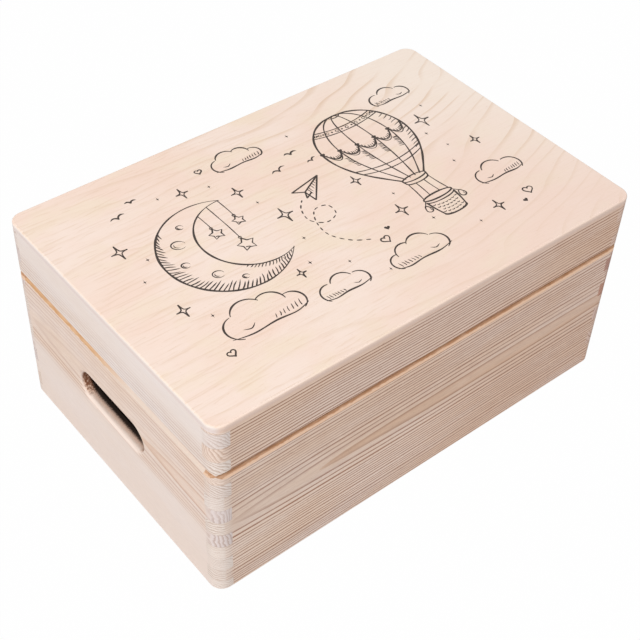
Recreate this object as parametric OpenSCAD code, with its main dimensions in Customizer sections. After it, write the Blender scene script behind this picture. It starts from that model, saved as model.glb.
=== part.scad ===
// Keepsake box: a finger-jointed pine carcass sawn apart into a body and a hinged lid.
// Frame: origin at the centre of the underside, +X along the length, +Y towards the hinges, +Z up.
// The lid is drawn closed; it opens by turning about the hinge pins.

/* [Carcass] */
// Length of the box over its end boards
box_l = 300; // [220:1:400]
// Width of the box over its long boards
box_w = 197; // [140:1:300]
// Height of the body boards
body_h = 97.3; // [85:0.1:200]
// Height of the lid boards, without the plywood on top
lid_frame_h = 32.8; // [20:0.1:70]
// Thickness of all boards
wall = 10; // [9:0.5:14]
// Radius of the rounded upright corners
corner_r = 8; // [3:0.5:9]

/* [Seam] */
// Open gap between body and lid when the lid is shut
seam_gap = 0.4; // [0.3:0.1:0.8]
// Width and depth of the bevel on each outer edge at the seam
seam_bevel = 2.6; // [2.4:0.05:4]

/* [Panels] */
// Thickness of the plywood on top of the lid
top_t = 4.5; // [3:0.5:8]
// Radius that eases the upper edge of the lid's plywood
top_ease = 3; // [0.3:0.1:4]
// Thickness of the plywood bottom
bottom_t = 4; // [3:0.5:8]
// Height of the bottom's underside above the boards' lower edges
bottom_recess = 0.5; // [0.3:0.1:2]
// How far the bottom's rebate bites into the boards
rebate_bite = 5; // [3:0.5:6]
// Corner radius of the rebate and the bottom
rebate_corner_r = 6; // [3:0.5:12]
// Play between the bottom's edge and its rebate
rebate_play = 0.15; // [0.05:0.05:0.5]

/* [Finger joints] */
// Height of the lowest finger
finger_first = 7; // [5:0.5:12]
// Height of every other finger
finger_pitch = 10.44; // [7:0.02:16]
// Wood lost when the lid was sawn off the body
saw_loss = 3.1; // [0:0.1:5]

/* [Handle slots] */
// Clear length of each hand slot
slot_l = 63; // [40:0.5:100]
// Clear height of each hand slot
slot_h = 20.5; // [14:0.5:30]
// Height of the slot's centre line above the ground
slot_z = 59; // [40:1:70]
// How far the slots' middle lies behind the middle of the end boards
slot_shift = 1.8; // [-5:0.1:5]
// Radius that rounds over both rims of the slot
slot_round = 2.5; // [1:0.25:4]

/* [Hinges] */
// Distance of each hinge's middle from the end of the box
hinge_inset = 55; // [40:1:75]
// Length of each hinge
hinge_l = 30; // [24:1:40]
// Distance of the pin's centre from the back face of the box
pin_inset = 2.4; // [2.1:0.05:3]
// Thickness of the sheet that the leaves are rolled from
leaf_t = 1; // [0.8:0.1:1.2]
// Distance of a leaf's free edge from the board's inner face
leaf_margin = 0.4; // [0.2:0.1:1]
// Diameter of the hinge pin
pin_d = 2; // [1.6:0.1:2.4]
// Radial running clearance of the pin
pin_play = 0.05; // [0.02:0.01:0.1]
// Gap between neighbouring knuckles, and between a leaf and the other leaf's knuckle
knuckle_gap = 0.25; // [0.2:0.05:0.5]
// Clearance of knuckles and leaf ends in the wood
mortise_play = 0.3; // [0.2:0.05:0.5]

/* [Screws] */
// Diameter of the screw shank
screw_d = 2; // [1.6:0.1:2.4]
// Diameter of the countersunk head
screw_head_d = 3.9; // [3.4:0.1:4.2]
// Length of the screw, head included
screw_l = 9; // [6:0.5:12]
// Length of the screw's point
screw_point = 2; // [1:0.5:3]
// Distance of a screw from the end of its leaf
screw_end = 5.5; // [4:0.5:7]
// Clearance round a screw
screw_play = 0.05; // [0.02:0.01:0.1]

/* [Hidden] */

$fn = 96;
over = 1;                                   // how far a cutter runs past the face it cuts
front = -1; back = 1;                       // sides along Y
left = -1; right = 1;                       // sides along X
below = -1; above = 1;                      // sides of the seam
END_TIPS = 0; LONG_TIPS = 1;                // fingers of the end boards and of the long boards

seam_z = body_h + seam_gap / 2;             // middle of the seam, and height of the hinge pins
lid_z = body_h + seam_gap;                  // lower edges of the lid boards
top_z = lid_z + lid_frame_h;                // upper edges of the lid boards
inner_l = box_l - 2 * wall;
inner_w = box_w - 2 * wall;
finger_n = ceil((top_z + saw_loss) / finger_pitch) + 1;
ease = min(top_ease, top_t - 0.5, corner_r - 0.1);  // a thin panel keeps a low straight edge

pin_y = box_w / 2 - pin_inset;
knuckle_r = pin_d / 2 + pin_play + leaf_t;  // the sheet is rolled round the pin
knuckle_l = (hinge_l - 2 * knuckle_gap) / 3;
leaf_reach = wall - pin_inset - leaf_margin;
leaf_root = knuckle_r + knuckle_gap;        // where a leaf stops beside the other leaf's knuckle
neck_end = knuckle_r - 0.7 * leaf_t;        // how near to the pin a leaf's flat runs into its own knuckle
screw_y = -(leaf_root + leaf_reach) / 2;    // centre of the leaf's flat, from the pin
head_h = (screw_head_d - screw_d) / 2;      // a 90 degree countersink
cross_l = 0.55 * screw_head_d;              // the driver's cross in a screw head
cross_w = 0.16 * screw_head_d;
cross_h = 0.6 * head_h;

pine = [0.87, 0.77, 0.68];
birch = [0.94, 0.86, 0.78];
brass = [0.80, 0.66, 0.38];
steel = [0.74, 0.72, 0.68];

// ---- helpers

// Extrudes a drawing of (Y, Z) along X, centred
module along_x(length) rotate([90, 0, 90]) linear_extrude(length, center = true) children();

// Extrudes a drawing of (X, Z) along Y, centred
module along_y(length) rotate([90, 0, 0]) linear_extrude(length, center = true) children();

// A round bar along X, centred
module bar_x(length, r) rotate([0, 90, 0]) cylinder(length, r = r, center = true);

// Rectangle l by w with round corners, centred
module outline(l, w, r) {
    square([l - 2 * r, w], center = true);
    square([l, w - 2 * r], center = true);
    for (x = [-1, 1], y = [-1, 1])
        translate([x * (l / 2 - r), y * (w / 2 - r)]) circle(r);
}

// ---- finger joints and seam

// Lower and upper end of finger k; the lid's fingers sit lower by the wood lost to the saw
function finger_bottom(k, drop) = k == 0 ? -over : finger_first + (k - 1) * finger_pitch - drop;
function finger_top(k, drop) = finger_first + k * finger_pitch - drop;

// Blocks where the fingers of the other boards pass through, at both ends of a long board
module end_tip_blocks(side, drop, z0, z1)
    for (k = [END_TIPS : 2 : finger_n])
        if (finger_top(k, drop) > z0 && finger_bottom(k, drop) < z1)
            for (x = [left, right])
                translate([x > 0 ? inner_l / 2 : -box_l / 2 - over,
                           side * (box_w - wall) / 2 - wall / 2 - over,
                           finger_bottom(k, drop)])
                    cube([wall + over, wall + 2 * over, finger_top(k, drop) - finger_bottom(k, drop)]);

// The same at both ends of an end board
module long_tip_blocks(side, drop, z0, z1)
    for (k = [LONG_TIPS : 2 : finger_n])
        if (finger_top(k, drop) > z0 && finger_bottom(k, drop) < z1)
            for (y = [front, back])
                translate([side * (box_l - wall) / 2 - wall / 2 - over,
                           y > 0 ? inner_w / 2 : -box_w / 2 - over,
                           finger_bottom(k, drop)])
                    cube([wall + 2 * over, wall + over, finger_top(k, drop) - finger_bottom(k, drop)]);

// Section of the bevels above and below the seam on one side of the box
module bevel_section(side, half_span)
    translate([side * half_span, seam_z])
        polygon([[side * over, -seam_gap / 2 - seam_bevel - over], [-side * seam_bevel, -seam_gap / 2],
                 [-side * seam_bevel, seam_gap / 2], [side * over, seam_gap / 2 + seam_bevel + over]]);

// V-groove cut straight along all four faces; the rounded corners run it out
module seam_groove() {
    for (side = [front, back]) along_x(box_l + 2 * over) bevel_section(side, box_w / 2);
    for (side = [left, right]) along_y(box_w + 2 * over) bevel_section(side, box_l / 2);
}

// ---- boards

// Everything that the router and the saw do to the outside of the carcass
module carcass_blank(z0, z1) {
    difference() {
        translate([0, 0, z0]) linear_extrude(z1 - z0) outline(box_l, box_w, corner_r);
        seam_groove();
    }
}

module long_board(side, drop, z0, z1) {
    intersection() {
        difference() {
            translate([-box_l / 2, side * (box_w - wall) / 2 - wall / 2, z0])
                cube([box_l, wall, z1 - z0]);
            end_tip_blocks(side, drop, z0, z1);
        }
        carcass_blank(z0, z1);
    }
}

module end_board(side, drop, z0, z1) {
    intersection() {
        difference() {
            translate([side * (box_l - wall) / 2 - wall / 2, -box_w / 2, z0])
                cube([wall, box_w, z1 - z0]);
            long_tip_blocks(side, drop, z0, z1);
        }
        carcass_blank(z0, z1);
    }
}

// Rebate that the bottom lies in
module bottom_rebate()
    translate([0, 0, -over])
        linear_extrude(over + bottom_recess + bottom_t)
            outline(inner_l + 2 * rebate_bite, inner_w + 2 * rebate_bite, rebate_corner_r);

module body_long_board(side) difference() {
    long_board(side, 0, 0, body_h);
    bottom_rebate();
}

module body_end_board(side) difference() {
    end_board(side, 0, 0, body_h);
    bottom_rebate();
    translate([side * (box_l - wall) / 2, slot_shift, slot_z]) hand_slot();
}

// ---- hand slot

// Half the slot's section: distance from its middle against depth through the board
module slot_half_section() {
    mouth = slot_h / 2 + slot_round;
    flat = wall - 2 * slot_round;
    difference() {
        translate([0, -wall / 2 - over]) square([mouth, wall + 2 * over]);
        translate([slot_h / 2, -flat / 2]) square([slot_round + over, flat]);
        for (face = [-1, 1]) translate([mouth, face * flat / 2]) circle(slot_round);
    }
}

// Cutter for a round-ended slot with both rims rounded over, lying in the Y-Z plane
module hand_slot() {
    straight = slot_l - slot_h;
    rotate([90, 0, 90]) {
        rotate([90, 0, 90]) linear_extrude(straight, center = true) {
            slot_half_section();
            mirror([1, 0]) slot_half_section();
        }
        translate([straight / 2, 0, 0]) rotate([0, 0, -90]) rotate_extrude(angle = 180) slot_half_section();
        translate([-straight / 2, 0, 0]) rotate([0, 0, 90]) rotate_extrude(angle = 180) slot_half_section();
    }
}

// ---- lid top

// What the sander takes off the upper edge of a panel t thick, at a distance r from a centre
module ease_section(r, t) difference() {
    translate([r - ease, t - ease]) square(ease + over);
    translate([r - ease, t - ease]) circle(ease);
}

module eased_panel(l, w, r, t) difference() {
    linear_extrude(t) outline(l, w, r);
    for (side = [-1, 1]) {
        along_x(l - 2 * r) scale([side, 1]) ease_section(w / 2, t);
        along_y(w - 2 * r) scale([side, 1]) ease_section(l / 2, t);
    }
    for (x = [-1, 1], y = [-1, 1])
        translate([x * (l / 2 - r), y * (w / 2 - r), 0])
            rotate([0, 0, x > 0 ? (y > 0 ? 0 : -90) : (y > 0 ? 90 : 180)])
                rotate_extrude(angle = 90) ease_section(r, t);
}

// ---- hinges: drawn with the middle of the pin at the origin

module at_hinge(side) translate([side * (box_l / 2 - hinge_inset), pin_y, seam_z]) children();

// Flat of a leaf between two distances from the pin; the lid's leaf lies above the seam
module leaf_flat(level, length, from, to)
    translate([-length / 2, -to, level > 0 ? seam_gap / 2 : -seam_gap / 2 - leaf_t])
        cube([length, to - from, leaf_t]);

// Middles of the knuckles that belong to a leaf
function knuckles(level) = level == above ? [0] : [-knuckle_l - knuckle_gap, knuckle_l + knuckle_gap];

module leaf(level) difference() {
    union() {
        leaf_flat(level, hinge_l, leaf_root, leaf_reach);
        for (x = knuckles(level)) translate([x, 0, 0]) {
            leaf_flat(level, knuckle_l, neck_end, leaf_root);
            bar_x(knuckle_l, knuckle_r);
        }
    }
    bar_x(hinge_l + 2 * over, pin_d / 2 + pin_play);
    at_screws(level) screw(screw_play);
}

module pin() bar_x(hinge_l, pin_d / 2);

// One countersunk screw, point down, with the top of its head at the origin
module screw(play) {
    r = screw_d / 2 + play;
    translate([0, 0, -head_h]) cylinder(head_h, r, screw_head_d / 2 + play);
    translate([0, 0, -screw_l + screw_point]) cylinder(screw_l - screw_point - head_h, r = r);
    translate([0, 0, -screw_l]) cylinder(screw_point, 0.2 + play, r);
}

// A screw with the cross for the driver let into its head
module crossed_screw() difference() {
    screw(0);
    for (turn = [45, 135]) rotate([0, 0, turn])
        translate([-cross_l / 2, -cross_w / 2, -cross_h]) cube([cross_l, cross_w, cross_h + over]);
}

// Places its child at the two screws of a leaf, with the heads towards the seam
module at_screws(level)
    for (x = [-1, 1])
        translate([x * (hinge_l / 2 - screw_end), screw_y, level * seam_gap / 2])
            rotate([level > 0 ? 180 : 0, 0, 0]) children();

// Room for one hinge in a board: a notch for the leaf, a trough for the knuckles, screw holes
module hinge_mortise(level) {
    length = hinge_l + 2 * mortise_play;
    translate([-length / 2, -wall + pin_inset - over, level > 0 ? seam_gap / 2 - over : -seam_gap / 2 - leaf_t])
        cube([length, wall - pin_inset + over, leaf_t + over]);
    bar_x(length, knuckle_r + mortise_play);
    at_screws(level) screw(screw_play);
}

// ---- sub-parts

module lid_top_panel() color(birch) translate([0, 0, top_z]) eased_panel(box_l, box_w, corner_r, top_t);
module lid_front_board() color(pine) long_board(front, saw_loss, lid_z, top_z);
module lid_back_board() color(pine) difference() {
    long_board(back, saw_loss, lid_z, top_z);
    for (side = [left, right]) at_hinge(side) hinge_mortise(above);
}
module lid_left_end() color(pine) end_board(left, saw_loss, lid_z, top_z);
module lid_right_end() color(pine) end_board(right, saw_loss, lid_z, top_z);

module body_front_board() color(pine) body_long_board(front);
module body_back_board() color(pine) difference() {
    body_long_board(back);
    for (side = [left, right]) at_hinge(side) hinge_mortise(below);
}
module body_left_end() color(pine) body_end_board(left);
module body_right_end() color(pine) body_end_board(right);
module bottom_panel() color(birch)
    translate([0, 0, bottom_recess])
        linear_extrude(bottom_t)
            outline(inner_l + 2 * (rebate_bite - rebate_play), inner_w + 2 * (rebate_bite - rebate_play),
                    rebate_corner_r - rebate_play);

module left_hinge_body_leaf() color(brass) at_hinge(left) leaf(below);
module left_hinge_lid_leaf() color(brass) at_hinge(left) leaf(above);
module left_hinge_pin() color(steel) at_hinge(left) pin();
module right_hinge_body_leaf() color(brass) at_hinge(right) leaf(below);
module right_hinge_lid_leaf() color(brass) at_hinge(right) leaf(above);
module right_hinge_pin() color(steel) at_hinge(right) pin();
module body_leaf_screws() color(brass)
    for (side = [left, right]) at_hinge(side) at_screws(below) crossed_screw();
module lid_leaf_screws() color(brass)
    for (side = [left, right]) at_hinge(side) at_screws(above) crossed_screw();

lid_top_panel();
lid_front_board();
lid_back_board();
lid_left_end();
lid_right_end();
body_front_board();
body_back_board();
body_left_end();
body_right_end();
bottom_panel();
left_hinge_body_leaf();
left_hinge_lid_leaf();
left_hinge_pin();
right_hinge_body_leaf();
right_hinge_lid_leaf();
right_hinge_pin();
body_leaf_screws();
lid_leaf_screws();
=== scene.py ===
"""Looks of the keepsake box: sanded pine boards, birch plywood, a lid with a drawing, brass hinges.

Lengths in the wood materials and in the lid's drawing are millimetres; everything else is in metres.
"""
import math
import random

import bmesh
import bpy
from mathutils import Euler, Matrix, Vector
from mathutils.geometry import delaunay_2d_cdt


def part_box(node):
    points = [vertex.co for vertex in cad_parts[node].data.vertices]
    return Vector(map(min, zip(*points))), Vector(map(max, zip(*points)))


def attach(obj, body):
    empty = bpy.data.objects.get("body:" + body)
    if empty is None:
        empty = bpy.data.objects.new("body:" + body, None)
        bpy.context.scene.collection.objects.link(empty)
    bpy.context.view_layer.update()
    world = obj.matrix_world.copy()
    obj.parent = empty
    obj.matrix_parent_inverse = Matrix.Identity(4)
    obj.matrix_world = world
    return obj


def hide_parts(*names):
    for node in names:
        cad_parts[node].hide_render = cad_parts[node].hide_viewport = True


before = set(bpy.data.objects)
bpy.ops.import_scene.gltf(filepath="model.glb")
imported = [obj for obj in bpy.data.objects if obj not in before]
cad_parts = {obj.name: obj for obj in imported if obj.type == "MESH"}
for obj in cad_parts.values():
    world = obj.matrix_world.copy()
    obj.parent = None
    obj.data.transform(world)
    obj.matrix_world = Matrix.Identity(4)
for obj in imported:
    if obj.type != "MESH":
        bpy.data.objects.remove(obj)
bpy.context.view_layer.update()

# ---- sizes in millimetres

# these come from the frame
MM = 0.001
BODY_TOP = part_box("body_front_board")[1].z / MM
LID_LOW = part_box("lid_front_board")[0].z / MM
SEAM_Z = (BODY_TOP + LID_LOW) / 2
TOP_LOW, TOP_HIGH = (corner.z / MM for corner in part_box("lid_top_panel"))
HALF_L, HALF_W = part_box("lid_top_panel")[1].x / MM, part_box("lid_top_panel")[1].y / MM
WALL = (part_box("body_front_board")[1].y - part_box("body_front_board")[0].y) / MM

# these are the CAD model's own lengths, which the frame doesn't tell
SEAM_BEVEL = 2.8            # half the height of the V-groove at the outer faces
FINGER_FIRST = 7.0          # height of the lowest finger
FINGER_PITCH = 10.44        # height of every other finger
SAW_LOSS = 3.1              # how far the lid's fingers sit below the body's rhythm
SLOT_Z = 59.0               # height of the hand slots' middle
SLOT_SHIFT = 1.8            # how far it lies behind the middle of the end board
SLOT_HALF = (34.5, 13.2)    # half the length and half the height of a slot over its rims


def rgb(red, green, blue):
    """A display colour, 0 to 255, as the linear colour that the shaders take."""
    parts = []
    for value in (red, green, blue):
        c = value / 255
        parts.append(c / 12.92 if c <= 0.04045 else ((c + 0.055) / 1.055) ** 2.4)
    return (*parts, 1.0)


def add_object(name, data):
    made = bpy.data.objects.new(name, data)
    bpy.context.scene.collection.objects.link(made)
    return made


# ---- shader helper

class Tree:
    """Adds shader nodes to a material and wires them; the methods that compute return a socket."""

    def __init__(self, name):
        self.material = bpy.data.materials.new(name)
        self.material.use_nodes = True
        self.nodes = self.material.node_tree.nodes
        self.links = self.material.node_tree.links
        self.surface = self.nodes["Principled BSDF"]

    def put(self, socket, value):
        if isinstance(value, bpy.types.NodeSocket):
            self.links.new(value, socket)
        else:
            socket.default_value = value

    def node(self, kind, inputs, **settings):
        made = self.nodes.new(kind)
        for key, value in settings.items():
            setattr(made, key, value)
        for key, value in inputs.items():
            self.put(made.inputs[key], value)
        return made

    # arithmetic

    def math(self, operation, *values, clamp=False):
        inputs = dict(enumerate(values))
        return self.node("ShaderNodeMath", inputs, operation=operation, use_clamp=clamp).outputs[0]

    def plus(self, a, b):
        return self.math("ADD", a, b)

    def minus(self, a, b):
        return self.math("SUBTRACT", a, b)

    def times(self, a, b):
        return self.math("MULTIPLY", a, b)

    def over(self, a, b):
        return self.math("DIVIDE", a, b)

    def absolute(self, value):
        return self.math("ABSOLUTE", value)

    def steps(self, value, low, high, smooth=True):
        """0 below low, 1 above high, and a ramp between; low above high turns it round."""
        kind = "SMOOTHSTEP" if smooth else "LINEAR"
        inputs = {"Value": value, "From Min": low, "From Max": high}
        return self.node("ShaderNodeMapRange", inputs, interpolation_type=kind, clamp=True).outputs[0]

    def band(self, value, centre, half_width, soft):
        """1 where value is near centre, falling to 0 over soft."""
        off = self.absolute(self.minus(value, centre))
        return self.steps(off, half_width + soft, half_width)

    # places and noise

    def vector(self, x, y, z):
        return self.node("ShaderNodeCombineXYZ", {"X": x, "Y": y, "Z": z}).outputs[0]

    def place(self, grain):
        """(along the grain, across it in plan, height) in millimetres, on the piece at rest, and how far
        the surface faces along the grain and up."""
        found = self.node("ShaderNodeTexCoord", {})
        scaled = self.node("ShaderNodeVectorMath", {0: found.outputs["Object"], "Scale": 1 / MM},
                           operation="SCALE").outputs[0]
        x, y, z = self.node("ShaderNodeSeparateXYZ", {0: scaled}).outputs
        facing = self.node("ShaderNodeSeparateXYZ", {0: found.outputs["Normal"]}).outputs
        along, across = (x, y) if grain == "X" else (y, x)
        end_facing = self.absolute(facing[0] if grain == "X" else facing[1])
        up_facing = self.absolute(facing[2])
        return along, across, z, end_facing, up_facing

    def noise(self, vector, scale, detail=2.0, roughness=0.5):
        inputs = {"Vector": vector, "Scale": scale, "Detail": detail, "Roughness": roughness}
        return self.node("ShaderNodeTexNoise", inputs).outputs["Fac"]

    def streaks(self, place, stretch, scale, detail=2.0, roughness=0.5):
        """Noise drawn out along the grain; the smaller stretch is, the longer its streaks are."""
        along, across, height = place
        drawn = self.vector(self.times(along, stretch), across, height)
        return self.noise(drawn, scale, detail, roughness)

    def chance(self, value):
        """A random number, 0 to 1, that belongs to value."""
        made = self.node("ShaderNodeTexWhiteNoise", {"W": value}, noise_dimensions="1D")
        return made.outputs["Value"]

    def around(self, noise_value, reach):
        """Noise, which lies round a half, as an offset of about plus or minus reach."""
        return self.times(self.minus(noise_value, 0.5), 2 * reach)

    # looks

    def mix(self, share, a, b, blend="MIX"):
        made = self.node("ShaderNodeMix", {}, data_type="RGBA", blend_type=blend)
        for socket, value in ((made.inputs[0], share), (made.inputs[6], a), (made.inputs[7], b)):
            self.put(socket, value)
        return made.outputs[2]

    def tinted(self, colour, tint):
        return self.mix(1.0, colour, tint, "MULTIPLY")

    def bump(self, height, strength, distance):
        inputs = {"Height": height, "Strength": strength, "Distance": distance}
        return self.node("ShaderNodeBump", inputs).outputs[0]


# ---- pine

# end grain: pale where the sander whitened it, near the front left corner, and dull elsewhere
PALE_END = rgb(253, 240, 231)
PALE_END_LATE = rgb(214, 190, 174)
DULL_END = rgb(244, 216, 200)
DULL_END_LATE = rgb(192, 152, 130)
# painted shade on the dull finger ends, from mid-height to the seam
FINGER_PAINTED_SHADE = rgb(224, 204, 200)     # tint of the dull fingers from mid-height to the seam
FINGER_LILAC = rgb(246, 245, 251)
FINGER_ROSE = rgb(255, 246, 240)
END_SPECK = rgb(240, 234, 230)
FINGER_LINE = rgb(186, 160, 142)    # hairlines where the fingers meet

# tints on the faces
DRY_FIBRE = rgb(236, 231, 229)
CREAM_PATCH = rgb(252, 245, 236)
PLAIN_STRIP = rgb(252, 238, 231)
RESIN = rgb(232, 216, 198)

# the hand slot, from its pale rims, lightened by a painted highlight, through brown painted shade to
# near-black painted shade in its middle
LIP_PALE_AND_HIGHLIGHT = rgb(252, 234, 222)
LIP_BROWN_AND_SHADE = rgb(212, 174, 152)
TORN_PALE = rgb(238, 206, 184)
TORN_BROWN = rgb(140, 92, 66)
SLOT_PAINTED_SHADE = rgb(10, 5, 4)

SEED_STEP = 997.0                   # moves a board's noise well away from the other boards'
LATE_GROWS = (0.38, 0.88)           # shares of a year ring between which its dark line grows
LATE_STOPS = (1.0, 0.92)            # shares where it has ended and where it begins to end
LOW_BAND = (30.0, 14.0, 8.0)        # height, half width and softness of a board's strong low rings
LOW_REACH = (130.0, -20.0)          # places along the grain between which they grow
NEAR_CORNER = (30.0, -60.0)         # x + y between which the sander's whitening grows
RUBBED = (-1.0, 2.5)                # where it begins and is full on a face, from the next board's inside
UNDER_PANEL = (1.7, 1.3)            # depths under the panel between which it grows to its strongest
STAVE = 1.7                         # spacing of the lines on the pale finger ends
STAVE_TURN = 2.9                    # how far those lines turn from finger to finger, in radians
FINGER_SHADE_HEIGHTS = (50.0, 60.0)        # heights between which the dull fingers darken
END_FACING = (0.04, 0.42)           # how far end grain faces along the grain: it begins, it is full
BEVEL_FACING = (0.3, 0.95)          # how far a bevel faces up or down: more than, less than
LINE_WIDTH = (0.02, 0.007)          # half the hairlines' width, in fingers: with and without its blur

# depths into the hand slot between which each of its looks grows, its painted shade among them
BEHIND_RIM = (0.02, 0.6)
LIP_TO_SHADE_DEPTH = (1.6, 4.8)
TORN_DEPTH = (0.2, 1.8)
SLOT_SHADE_DEPTH = (4.2, 6.6)


def in_slot(t, along, height):
    """1 in the hand slot and its rims, 0 elsewhere."""
    past_end = t.minus(t.absolute(t.minus(along, SLOT_SHIFT)), SLOT_HALF[0])
    past_side = t.minus(t.absolute(t.minus(height, SLOT_Z)), SLOT_HALF[1])
    return t.math("LESS_THAN", t.math("MAXIMUM", past_end, past_side), 0.0)


def slot_colour(t, place, end_facing, speck, inside, colour):
    """The hand slot: pale rims with a painted highlight, torn brown end grain at its ends, and painted
    shade deeper in.
    """
    along, across, height = place
    depth = t.minus(HALF_L, t.absolute(across))
    between_faces = t.times(t.steps(depth, *BEHIND_RIM), t.steps(depth, WALL - 0.02, WALL - 0.4))
    inside = t.times(inside, between_faces)
    ragged_depth = t.plus(depth, t.around(speck, 1.6))
    # painted highlight on the pale rim, turning into brown painted shade deeper into the slot
    lip_highlight_to_shade = t.mix(t.steps(ragged_depth, *LIP_TO_SHADE_DEPTH), LIP_PALE_AND_HIGHLIGHT, LIP_BROWN_AND_SHADE)
    colour = t.mix(t.times(inside, 0.75), colour, lip_highlight_to_shade)
    torn = t.noise(t.vector(t.times(along, 1.2), across, t.times(height, 0.45)), 1.0, 4.0, 0.7)
    high = t.steps(t.plus(height, t.times(depth, 1.5)), SLOT_Z - 9.0, SLOT_Z + 7.0)
    torn = t.steps(t.plus(torn, t.times(high, 0.16)), 0.46, 0.66)
    rough = t.mix(torn, TORN_PALE, TORN_BROWN)
    rough_share = t.times(t.steps(end_facing, 0.25, 0.7), t.steps(depth, *TORN_DEPTH))
    colour = t.mix(t.times(inside, rough_share), colour, rough)
    # painted shade: near black deep in the slot, standing in for its shadow
    slot_painted_shade = t.times(t.steps(ragged_depth, *SLOT_SHADE_DEPTH), inside)
    return t.mix(t.times(slot_painted_shade, 0.97), colour, SLOT_PAINTED_SHADE)


def end_grain(t, across, height, finger, near, wave, patchy, speck, lines):
    """The finger ends: pale, with fine lines of their own, where near is 1, and dull elsewhere, with
    painted shade on the dull ones from mid-height up.
    """
    turn = t.times(finger, STAVE_TURN)
    level = t.plus(t.times(across, t.math("COSINE", turn)), t.times(height, t.math("SINE", turn)))
    stave = t.math("FRACT", t.plus(t.over(level, STAVE), t.around(wave, 2.2)))
    stave = t.times(t.steps(stave, 0.3, 0.8), t.steps(stave, 1.0, 0.9))
    stave_share = t.times(t.times(stave, t.steps(patchy, 0.1, 0.7)), 0.85)
    pale = t.mix(stave_share, PALE_END, PALE_END_LATE)
    dull = t.mix(lines, DULL_END, DULL_END_LATE)
    # painted shade: the dull fingers darken from mid-height to just under the seam
    upper = t.times(t.steps(height, *FINGER_SHADE_HEIGHTS), t.steps(height, SEAM_Z, SEAM_Z - 4.0))
    dull = t.mix(upper, dull, t.tinted(dull, FINGER_PAINTED_SHADE))
    cut = t.mix(near, dull, pale)
    cut = t.mix(t.steps(finger, 0.1, 0.5), t.tinted(cut, FINGER_LILAC), cut)
    cut = t.mix(t.steps(finger, 0.5, 0.9), cut, t.tinted(cut, FINGER_ROSE))
    return t.mix(t.steps(speck, 0.3, 0.6), t.tinted(cut, END_SPECK), cut)


def bevel_colour(t, place, from_seam, fresh, warm):
    """The bevels at the seam: fresh orange wood deep inside, pale where the sander reached."""
    deep_colour, pale_colour, deep = fresh
    ragged = t.around(t.streaks(place, 0.3, 1.2), 0.5)
    inner = t.steps(t.plus(from_seam, ragged), deep + 0.2, deep - 0.2)
    resin = t.steps(t.streaks(place, 0.12, 0.9), 0.3, 0.7)
    orange = t.mix(resin, deep_colour, t.tinted(deep_colour, RESIN))
    if warm:
        full, none = warm
        inner = t.times(inner, t.steps(place[0], none, full))
    return t.mix(inner, pale_colour, orange)


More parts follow.
